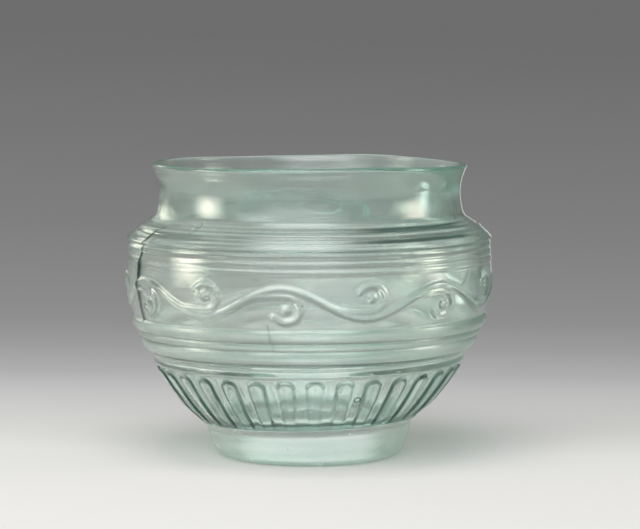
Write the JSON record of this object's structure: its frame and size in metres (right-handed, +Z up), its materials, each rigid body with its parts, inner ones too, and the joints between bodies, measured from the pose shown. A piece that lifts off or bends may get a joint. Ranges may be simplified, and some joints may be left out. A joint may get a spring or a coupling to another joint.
{
  "type": "mould-blown glass cup",
  "caption": "Footed glass cup with a waisted neck, stepped shoulder, relief frieze, ribs and a belt of upright tongues.",
  "frame": {"origin": "middle of the foot ring's resting face", "axes": "+Z up the cup's axis, from the foot to the mouth"},
  "size_m": [0.097, 0.097, 0.0775],
  "materials": {
    "wall_glass": "clear pale blue-green glass, softly wavy from the mould, polished by hand use",
    "foot_glass": "pale blue-green glass, milky and a little cloudy"
  },
  "bodies": {
    "root": {"bowl": "wall_glass", "foot_ring": "foot_glass"}
  },
  "joints": []
}
